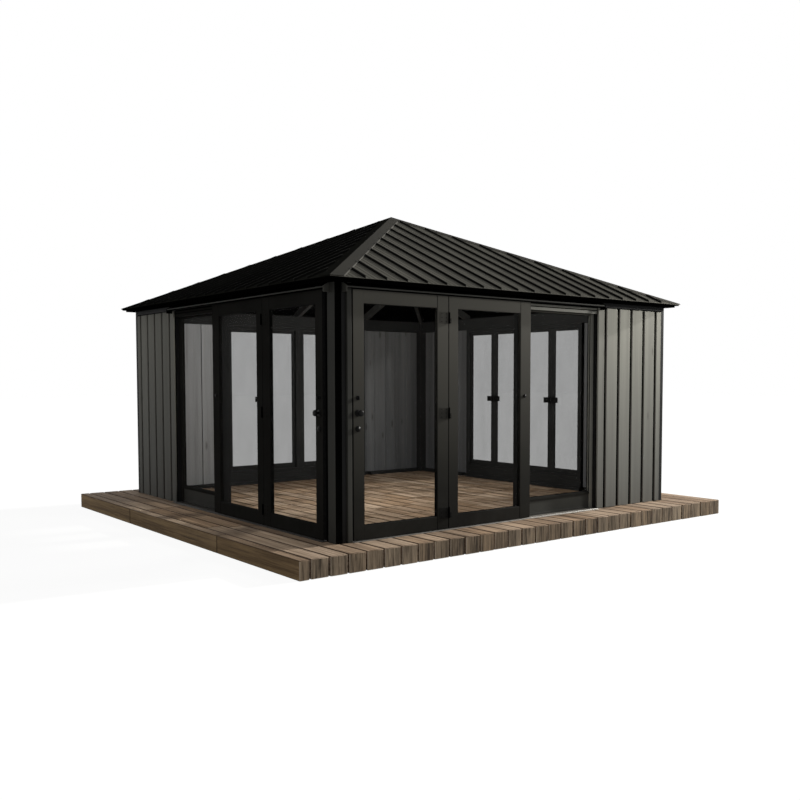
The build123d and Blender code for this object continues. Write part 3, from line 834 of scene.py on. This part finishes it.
for wall in glazed_walls:
    mesh = start_mesh()
    place = walls[wall]
    for start, material in ((fixed_start, 0), (fixed_end - fixed_stile, 3)):
        high = (start + fixed_stile, fixed_back, fixed_head)
        bar(mesh, (start, fixed_recess, fixed_foot), high, bar_edge, place, material)
    inner = (fixed_start + fixed_stile + seat, fixed_end - fixed_stile - seat)
    for z_low, z_high in ((fixed_head - fixed_top_rail, fixed_head), (rail_foot, rail_foot + fixed_rail)):
        bar(mesh, (inner[0], fixed_recess, z_low), (inner[1], fixed_back, z_high), bar_edge, place)
    kick_high = (inner[1], kick_front + kick_depth, fixed_foot + kick_height)
    bar(mesh, (inner[0], kick_front, fixed_foot), kick_high, soft_edge, place, 2)
    ledge_high = (inner[1], kick_front + ledge_reach, fixed_foot + ledge_height)
    bar(mesh, (inner[0], kick_front - ledge_reach, fixed_foot), ledge_high, fine_edge, place, 2)
    for z_low, z_high in strip_heights:
        bar(mesh, (fixed_start, strip_front, z_low), (fixed_end, board_depth, z_high), fine_edge, place, 3)
    # A flat black bar behind the strips paints the shade between and above them.
    groove_high = (fixed_end, board_depth, head_bottom - seat)
    bar(mesh, (fixed_start, groove_front, beam_bottom + groove_rise), groove_high, thin_edge, place, 4)
    low = (fixed_start + fixed_stile, rail_foot + fixed_rail)
    high = (fixed_end - fixed_stile, fixed_head - fixed_top_rail)
    middle = (fixed_recess + fixed_back) / 2
    glazing_trim(mesh, low, high, middle, glass_thick, (fixed_recess, fixed_back), place)
    coats = [leaf_coats[wall], rubber, grey_and_highlight_coat, strip_coats[wall], black_and_shade_coat]
    piece(f"{wall}_fixed_light_frame", mesh, coats, "dark_frame", f"{wall}_fixed_light")

# Glass: sealed units, clear in the leaves and fixed lights and grey tinted in the far windows, faintly
# smeared. Light passes through them, dimmed on its way.
def glass_finish(name, clean, smeared):
    """Clear glass of one tint that lets light through to the room."""
    finish, tree = new_material(name)
    smears = noise(tree, scaled_place(tree, (1, 1, 0.35)), 5.0, 5.0, 0.6)
    tint = blend(tree, spread(tree, smears, 0.42, 0.7), clean, smeared)
    inputs = {"Base Color": tint, "Transmission Weight": 1.0, "Roughness": 0.0, "IOR": 1.02}
    pane = node(tree, "ShaderNodeBsdfPrincipled", inputs)
    rays = node(tree, "ShaderNodeLightPath").outputs
    dimmed = blend(tree, rays["Is Shadow Ray"], (0.95, 0.96, 0.955), (0.85, 0.855, 0.85))
    through = node(tree, "ShaderNodeBsdfTransparent", {"Color": dimmed})
    passing = math_node(tree, "MAXIMUM", rays["Is Shadow Ray"], rays["Is Diffuse Ray"])
    mixed = node(tree, "ShaderNodeMixShader", {0: passing, 1: pane.outputs[0], 2: through.outputs[0]})
    node(tree, "ShaderNodeOutputMaterial", {"Surface": mixed.outputs[0]})
    return finish


def dress(finish, *names):
    """Give CAD nodes that are shown their finish."""
    for name in names:
        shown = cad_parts[name]
        shown.data.materials.clear()
        shown.data.materials.append(finish)


clear_glass = glass_finish("clear_glass_finish", (0.838, 0.841, 0.838), (0.798, 0.801, 0.798))
grey_glass = glass_finish("grey_glass_finish", (0.385, 0.386, 0.387), (0.355, 0.356, 0.357))
dress(clear_glass, "front_door_glass", "left_door_glass", "front_side_glass", "left_side_glass")
dress(grey_glass, "window_glass")

# Ironmongery: black knobs, key locks, thumb turns and catches on round roses, and lift-off hinges with a
# standing pin and wide coated flaps, all screwed to the faces of the leaves.
iron = coat_finish("black_iron", (0.005, 0.005, 0.005), (0.008, 0.008, 0.008), 0.36, 0.05)
face_gap = 0.0003
handle_u = door_start + 0.044
knob_z = 1.045
lock_z = 0.917
turn_z = 1.167
catch_u = side_leaf_end - 0.083
catch_z = 1.159
grip_front = 0.024
grip_back = 0.007
grip_half_width = 0.0045
grip_half_height = 0.016
turning_steps = 32
weld = 0.00001


def turned_part(mesh, profile, u, z, place):
    """A round part turned about an axis that stands out of the leaf: profile is radius and reach."""
    face = leaf_front - face_gap
    before = set(mesh.verts)
    points = [mesh.verts.new((u + radius, face - reach, z)) for radius, reach in profile]
    lines = [mesh.edges.new(pair) for pair in zip(points, points[1:])]
    turn = {"cent": (u, 0, z), "axis": (0, 1, 0), "angle": 2 * math.pi, "steps": turning_steps}
    bmesh.ops.spin(mesh, geom=points + lines, use_merge=True, **turn)
    made = [vert for vert in mesh.verts if vert not in before]
    bmesh.ops.remove_doubles(mesh, verts=made, dist=weld)
    made = [vert for vert in mesh.verts if vert not in before]
    bmesh.ops.transform(mesh, matrix=place, verts=made)
    for face_made in {face for vert in made for face in vert.link_faces}:
        face_made.smooth = True


knob_profile = (
    (0, 0), (0.028, 0), (0.028, 0.005), (0.025, 0.008), (0.012, 0.0085), (0.011, 0.011), (0.011, 0.03),
    (0.015, 0.033), (0.023, 0.035), (0.026, 0.039), (0.026, 0.047), (0.0235, 0.052), (0.018, 0.0538),
    (0, 0.054),
)
lock_profile = (
    (0, 0), (0.024, 0), (0.024, 0.007), (0.0215, 0.01), (0.0105, 0.01), (0.0095, 0.0125), (0.009, 0.0138),
    (0, 0.014),
)
turn_profile = ((0, 0), (0.018, 0), (0.018, 0.006), (0.0165, 0.008), (0, 0.008))
catch_profile = ((0, 0), (0.0135, 0), (0.015, 0.002), (0.015, 0.01), (0.0125, 0.0135), (0, 0.014))
handle_parts = ((knob_profile, knob_z), (lock_profile, lock_z), (turn_profile, turn_z))
for wall in glazed_walls:
    mesh = start_mesh()
    for profile, z in handle_parts:
        turned_part(mesh, profile, handle_u, z, walls[wall])
    face = leaf_front - face_gap
    grip_low = (handle_u - grip_half_width, face - grip_front, turn_z - grip_half_height)
    grip_high = (handle_u + grip_half_width, face - grip_back, turn_z + grip_half_height)
    bar(mesh, grip_low, grip_high, broad_edge, walls[wall])
    replaced = f"{wall}_door_handle_set"
    piece(f"{wall}_door_handles", mesh, [iron], "black_hardware", replaced, body=f"{wall}_door")

catches = start_mesh()
for wall in glazed_walls:
    turned_part(catches, catch_profile, catch_u, catch_z, walls[wall])
piece("side_leaf_catches", catches, [iron], "black_hardware", "leaf_catches")

hinge_line = 1.155
hinge_shares = (0.07, 0.5, 0.907)
hinge_axis_v = leaf_front - 0.008
hinge_gap = 0.003
barrel_length = 0.048
barrel_radius = 0.0075
barrel_steps = 24
pin_flap = 0.034
door_flap = 0.1
flap_relief = 0.013
flap_depth = 0.003
flap_screw = 0.0045
flap_screw_rise = 0.0016
flap_screw_lift = 0.0005
screw_steps = 12
# The front flaps are lightened higher up as a painted highlight; the left ones take the painted-shade bronze.
flap_coat = coat_finish("hinge_flap_coat", (0.007, 0.0069, 0.0063), (0.01, 0.0098, 0.009), 0.45, 0.03, 0.6)
flap_coats = [black_and_shade_coat, flap_coat, painted_shade_bronze]


def round_bar(mesh, radius, u, v, z_low, z_high, chamfer, place):
    """An upright round bar with eased ends."""
    shape = place @ Matrix.Translation((u, v, (z_low + z_high) / 2))
    size = {"segments": barrel_steps, "radius1": radius, "radius2": radius, "depth": z_high - z_low}
    corners = bmesh.ops.create_cone(mesh, cap_ends=True, matrix=shape, **size)["verts"]
    faces = list(dict.fromkeys(face for corner in corners for face in corner.link_faces))
    mark(mesh, faces, plain_tone, 0)
    rims = [edge for face in faces if len(face.verts) > 4 for edge in face.edges]
    for face in faces:
        face.smooth = len(face.verts) == 4
    mark(mesh, bevel(mesh, rims, chamfer), plain_tone, 1)


def swept_plate(mesh, points, sweep, chamfer, place, material=0):
    """A flat outline given by its corners, swept along a line into a plate or bar with eased edges."""
    near = [mesh.verts.new(point) for point in points]
    swept = bmesh.ops.extrude_face_region(mesh, geom=[mesh.faces.new(near)])["geom"]
    far = [item for item in swept if isinstance(item, bmesh.types.BMVert)]
    bmesh.ops.translate(mesh, verts=far, vec=sweep)
    bmesh.ops.transform(mesh, matrix=place, verts=near + far)
    ease(mesh, near + far, chamfer, material)


def screw_head(mesh, radius, height, place):
    """A low round screw head that stands up along z."""
    size = {"segments": screw_steps, "radius1": radius, "radius2": 0.75 * radius, "depth": height}
    bmesh.ops.create_cone(mesh, cap_ends=True, matrix=place, **size)


def hinge_half(mesh, z_low, outline, screws, place, material):
    """One knuckle of a hinge with its flap, whose outline is (u, z) from the hinge line, and its screws."""
    z_high = z_low + barrel_length
    round_bar(mesh, barrel_radius, hinge_line, hinge_axis_v, z_low, z_high, fine_edge, place)
    front = leaf_front - face_gap - flap_depth
    points = [(hinge_line + u, front, z_low + z) for u, z in outline]
    swept_plate(mesh, points, (0, flap_depth, 0), thin_edge, place, material)
    upright = Matrix.Rotation(math.pi / 2, 4, "X")
    for u, z in screws:
        head = Matrix.Translation((hinge_line + u, front - flap_screw_lift, z_low + z))
        screw_head(mesh, flap_screw, flap_screw_rise, place @ head @ upright)


pin_outline = ((hinge_gap, 0), (pin_flap, 0), (pin_flap, barrel_length), (hinge_gap, barrel_length))
pin_screws = [(0.55 * pin_flap, share * barrel_length) for share in (0.2, 0.5, 0.8)]
door_outline = (
    (-door_flap, -barrel_length), (-flap_relief, -barrel_length), (-flap_relief, 0), (-hinge_gap, 0),
    (-hinge_gap, barrel_length), (-door_flap, barrel_length),
)
door_screws = [(-u * door_flap, z * barrel_length) for u in (0.3, 0.8) for z in (-0.7, 0, 0.7)]
pins = start_mesh()
for wall, flap in (("front", 1), ("left", 2)):
    knuckles = start_mesh()
    place = walls[wall]
    for share in hinge_shares:
        foot = leaf_bottom + (leaf_top - leaf_bottom) * share - barrel_length
        hinge_half(pins, foot, pin_outline, pin_screws, place, flap)
        hinge_half(knuckles, foot + barrel_length + seat, door_outline, door_screws, place, flap)
    replaced = f"{wall}_door_hinges"
    piece(f"{wall}_hinge_knuckles", knuckles, flap_coats, "black_hardware", replaced, body=f"{wall}_door")
piece("hinge_pin_halves", pins, flap_coats, "black_hardware", "hinge_pins")

# Hoods: folded aluminium weather hoods over the leaves, with a sloping top and deeper caps on the ends. The
# hood and its far caps are flat black as painted shade, the grey strip along the nose is a painted highlight,
# and the near caps are paler as painted light.
hood_start = 0.082
hood_end = clad_start + 0.022
hood_reach = 0.057
hood_top_reach = 0.015
hood_nose = 0.012
nose_depth = 0.004
nose_proud = 0.002
hood_cap = 0.012
hood_cap_proud = 0.003
hood_cap_drop = 0.034
lip_bottom = 2.084
painted_light_cap_coat = coat_finish("painted_light_trim_coat", (0.06, 0.0595, 0.053), (0.076, 0.0755, 0.068), 0.55, 0.03)


def hood_section(u, reach, foot):
    """Corners of a hood's section at one place along the wall."""
    head = lip_bottom - seat
    nose = head_bottom + hood_nose
    section = ((-seat, foot), (-reach, foot), (-reach, nose), (-hood_top_reach, head), (-seat, head))
    return [(u, v, z) for v, z in section]


hoods = start_mesh()
for wall in glazed_walls:
    place = walls[wall]
    body = hood_section(hood_start + seat, hood_reach - nose_proud, head_bottom)
    swept_plate(hoods, body, (hood_end - hood_start - 2 * seat, 0, 0), soft_edge, place)
    nose_high = (hood_end - seat, nose_depth - hood_reach, head_bottom + hood_nose)
    bar(hoods, (hood_start + seat, -hood_reach, head_bottom), nose_high, thin_edge, place, 1)
    for start, material in ((hood_start - hood_cap, 2), (hood_end, 0)):
        cap = hood_section(start, hood_reach + hood_cap_proud, head_bottom - hood_cap_drop)
        swept_plate(hoods, cap, (hood_cap, 0, 0), soft_edge, place, material)
piece("weather_hoods", hoods, [black_and_shade_coat, grey_and_highlight_coat, painted_light_cap_coat], "dark_frame", "door_hoods")

# Windows: pairs of slim bronze casements over a flat kick panel, on the two walls without doors. Each sash
# has a black lever latch on its meeting stile, inside.
window_kick = 0.121
frame_front = 0.04
frame_back = 0.1
frame_width = 0.05
frame_top = 0.04
sash_front = 0.048
sash_back = 0.062
sash_stile = 0.034
meeting_stile = 0.055
sash_rails = (0.034, 0.06)
sash_glass = 0.008
latch_z = 1.06
plate_half_width = 0.015
plate_half_height = 0.045
plate_depth = 0.008
lever_reach = 0.086
lever_height = 0.066
lever_depth = (0.007, 0.022)
lever_edge = 0.005
window_foot = window_kick + seat
window_head = beam_bottom - seat
pair_width = (window_end - window_start) / 2
frames = start_mesh()
sashes = start_mesh()
kicks = start_mesh()
latches = start_mesh()


def latch(u, side, place):
    """A lever latch on the inside of a meeting stile, its lever pointing away from the other sash."""
    face = sash_back + seat
    plate_low = (u - plate_half_width, face, latch_z - plate_half_height)
    plate_high = (u + plate_half_width, face + plate_depth, latch_z + plate_half_height)
    bar(latches, plate_low, plate_high, broad_edge, place)
    root, tip = sorted((u - side * plate_half_width, u + side * lever_reach))
    lever_low = (root, face + lever_depth[0], latch_z - lever_height / 2)
    lever_high = (tip, face + lever_depth[1], latch_z + lever_height / 2)
    bar(latches, lever_low, lever_high, lever_edge, place)


def sash(middle, side, place):
    """One sash of a pair, on one side of the pair's middle, with its latch."""
    outer = middle + side * (pair_width / 2 - frame_width - 2 * seat)
    left, right = sorted((outer, middle + side * seat))
    stiles = (sash_stile, meeting_stile) if side < 0 else (meeting_stile, sash_stile)
    low = (left, window_foot + frame_width + seat)
    high = (right, window_head - frame_top - seat)
    faces = (sash_front, sash_back)
    ring(sashes, low, high, (*stiles, *sash_rails), faces, soft_edge, place)
    glass_low = (left + stiles[0], low[1] + sash_rails[1])
    glass_high = (right - stiles[1], high[1] - sash_rails[0])
    glazing_trim(sashes, glass_low, glass_high, (sash_front + sash_back) / 2, sash_glass, faces, place)
    latch(middle + side * meeting_stile / 2, side, place)


for wall in window_walls:
    place = walls[wall]
    for pair in range(2):
        start = window_start + pair * pair_width + seat
        end = start + pair_width - 2 * seat
        widths = (frame_width, frame_width, frame_top, frame_width)
        depth = (frame_front, frame_back)
        ring(frames, (start, window_foot), (end, window_head), widths, depth, bar_edge, place)
        kick_low = (start, frame_front, base_rail_height + seat)
        bar(kicks, kick_low, (end, frame_back, window_kick), broad_edge, place)
        for side in (-1, 1):
            sash((start + end) / 2, side, place)
piece("casement_frames", frames, [bronze], "dark_frame", "window_frames")
piece("casement_sashes", sashes, [bronze, rubber], "dark_frame", "window_sashes")
piece("casement_kick_panels", kicks, [bronze], "dark_frame", "window_kick_panels")
piece("lever_latches", latches, [iron], "black_hardware", "window_latches")

# Roof frame: rafters from the beams to an eight-sided block at the tip, painted dark grey, and closed eaves
# in flat black as a painted shade.
rafter_paint = coat_finish("rafter_paint", (0.035, 0.035, 0.034), (0.048, 0.0478, 0.046), 0.6, 0.1)
dress(rafter_paint, "hip_rafters", "jack_rafters", "roof_hub")
dress(black_and_shade_coat, "eave_boxes")

# Roof slopes: coated steel pans with raised seams and low stiffening ribs, screwed to the rafters over a
# black lining sheet. Each pan runs from the eave to the hip, and the seams stop at the hip covers. The seams
# are black as a painted shade, and the pans are lighter on the front and right slopes as painted light and
# darker on the left and back as painted shade.
slope_low, slope_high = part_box("front_roof_slope")
roof_half = -slope_low.y
eave = -roof_half
sheet_depth = 0.018
sheet_gap = 0.0005
sheet_inset = 0.012
eave_z = slope_low.z + sheet_depth
fall = (slope_high.z - eave_z) / (roof_half - seat)
seam_pitch = 0.21
seam_count = 21
seam_width = 0.009
seam_height = 0.021
seam_sink = 0.002
pan_depth = 0.003
pan_gap = 0.001
rib_shares = (0.27, 0.5, 0.73)
rib_height = 0.003
rib_width = 0.012
rib_sink = 0.001
rib_inset = 0.004
hip_gap = 0.002
cap_width = 0.137
apex_reach = 0.16
roof_screw = 0.006
roof_screw_rise = 0.004
roof_screw_lift = 0.002
screw_offset = 0.03
screw_inset = 0.05
screw_margin = 0.22
lit_roof_steel = coat_finish("lit_roof_steel", (0.082, 0.0795, 0.069), (0.108, 0.105, 0.0915), 0.7, 0.01)
painted_shade_steel = coat_finish("painted_shade_roof_steel", (0.012, 0.0122, 0.0105), (0.017, 0.0172, 0.015), 0.7, 0.0)
seam_shade_black = coat_finish("painted_shade_seam_black", (0.006, 0.006, 0.0055), (0.009, 0.009, 0.008), 0.7, 0.02)
on_slope = Matrix(((1, 0, 0, 0), (0, 1, 0, 0), (0, fall, 1, eave_z + fall * roof_half), (0, 0, 0, 1)))


def cut_hips(mesh, gap):
    """Trim everything on the slope to a gap before the two hips and close the cuts."""
    for side in (-1, 1):
        bodies = mesh.verts[:] + mesh.edges[:] + mesh.faces[:]
        plane = {"plane_co": (0, -gap, 0), "plane_no": (side, 1, 0)}
        cut = bmesh.ops.bisect_plane(mesh, geom=bodies, clear_outer=True, dist=weld, **plane)
        edges = [item for item in cut["geom_cut"] if isinstance(item, bmesh.types.BMEdge)]
        bmesh.ops.holes_fill(mesh, edges=edges, sides=0)


def roof_slope():
    """One slope, laid as the front one."""
    mesh = start_mesh()
    seams = [(number - (seam_count - 1) / 2) * seam_pitch for number in range(seam_count)]
    for line in seams:
        high = (line + seam_width / 2, -apex_reach - hip_gap, seam_height)
        bar(mesh, (line - seam_width / 2, eave, -seam_sink), high, soft_edge, on_slope, 2)
    cut_hips(mesh, cap_width + hip_gap)
    sheet_low = (eave, eave + sheet_inset, -sheet_depth)
    bar(mesh, sheet_low, (roof_half, 0, -pan_depth - sheet_gap), thin_edge, on_slope, 1)
    lines = [eave] + seams + [roof_half]
    for left, right in zip(lines, lines[1:]):
        tone = choice.random()
        bar(mesh, (left + pan_gap, eave, -pan_depth), (right - pan_gap, 0, 0), thin_edge, on_slope, 0, tone)
        if right - left > seam_pitch / 2:
            for share in rib_shares:
                middle = left + (right - left) * share
                low = (middle - rib_width / 2, eave + rib_inset, -rib_sink)
                bar(mesh, low, (middle + rib_width / 2, 0, rib_height), fine_edge, on_slope, 0, tone)
    cut_hips(mesh, hip_gap)
    for line in seams:
        for x in (line - screw_offset, line + screw_offset):
            if abs(x) < roof_half - screw_margin:
                place = Matrix.Translation((x, screw_inset - roof_half, roof_screw_lift))
                screw_head(mesh, roof_screw, roof_screw_rise, on_slope @ place)
    return mesh


for turns, wall in enumerate(("front", "right", "back", "left")):
    mesh = roof_slope()
    bmesh.ops.transform(mesh, matrix=Matrix.Rotation(turns * math.pi / 2, 4, "Z"), verts=mesh.verts)
    # Painted light on the front and right pans, painted shade on the left and back ones.
    pan_steel = lit_roof_steel if wall in ("front", "right") else painted_shade_steel
    roof_coats = [pan_steel, black_and_shade_coat, seam_shade_black]
    piece(f"{wall}_roof_pans", mesh, roof_coats, "roof_metal", f"{wall}_roof_slope")

# Hip and apex covers: folded steel sheets over the ends of the seams, raised on a turned lip along each edge
# and fixed with screws. On the front and right slopes the lips are pale as a painted highlight, and on the
# left and back slopes the covers take the painted-shade steel.
cap_top = 0.0083
cap_sheet = 0.003
cap_lip = 0.01
cap_sheet_top = cap_top - 0.0005
apex_lip_top = cap_top - 0.001
cap_screw_rise = 0.003
screw_step = 0.3
first_screw = 0.4
cap_steel = coat_finish("cap_steel", (0.033, 0.0318, 0.028), (0.043, 0.0415, 0.0365), 0.7, 0.01)
painted_highlight_lip_steel = coat_finish("painted_highlight_lip_coat", (0.085, 0.082, 0.074), (0.11, 0.106, 0.096), 0.6, 0.02)
across_hip = Matrix(((0, 1, 0, 0), (1, 0, 0, 0), (0, 0, 1, 0), (0, 0, 0, 1)))
tip = -apex_reach


def cover_part(mesh, corners, low, high, place, material):
    """A flat part of a cover: its corners in plan, and its heights above the pans."""
    points = [(x, y, low) for x, y in corners]
    swept_plate(mesh, points, (0, 0, high - low), bead_edge, place @ on_slope, material)


def hip_side(mesh, place, in_shade):
    """One side of a hip cover, with its lip and screws."""
    inner = cap_width - cap_lip / 2
    sheet = ((eave, eave), (eave + inner, eave), (tip + inner, tip), (tip, tip))
    cover_part(mesh, sheet, cap_sheet_top - cap_sheet, cap_sheet_top, place, 1 if in_shade else 0)
    inner = cap_width - cap_lip
    lip = ((eave + inner, eave), (eave + cap_width, eave), (tip + cap_width, tip), (tip + inner, tip))
    cover_part(mesh, lip, seat, cap_top, place, 1 if in_shade else 2)
    for number in range(round((roof_half - apex_reach) / screw_step)):
        y = eave + (number + first_screw) * screw_step
        head = Matrix.Translation((y + cap_width - 3 * cap_lip, y, cap_top))
        screw_head(mesh, roof_screw, cap_screw_rise, place @ on_slope @ head)


apex_side = apex_reach - seat
apex_inner = apex_side - cap_lip
apex_sheet = ((-apex_side, -apex_side), (apex_side, -apex_side), (0, 0))
apex_lip = (*apex_sheet[:2], (apex_inner, -apex_inner), (-apex_inner, -apex_inner))
hip_covers = start_mesh()
apex_cover = start_mesh()
for turns in range(4):
    turn = Matrix.Rotation(turns * math.pi / 2, 4, "Z")
    hip_side(hip_covers, turn, turns > 1)
    hip_side(hip_covers, turn @ across_hip, turns in (0, 3))
    apex_material = 1 if turns > 1 else 0
    cover_part(apex_cover, apex_sheet, cap_top - cap_sheet, cap_top, turn, apex_material)
    cover_part(apex_cover, apex_lip, seat, apex_lip_top, turn, apex_material)
piece("hip_cover_set", hip_covers, [cap_steel, painted_shade_steel, painted_highlight_lip_steel], "roof_metal", "hip_caps")
piece("apex_cover", apex_cover, [cap_steel, painted_shade_steel], "roof_metal", "apex_cap")
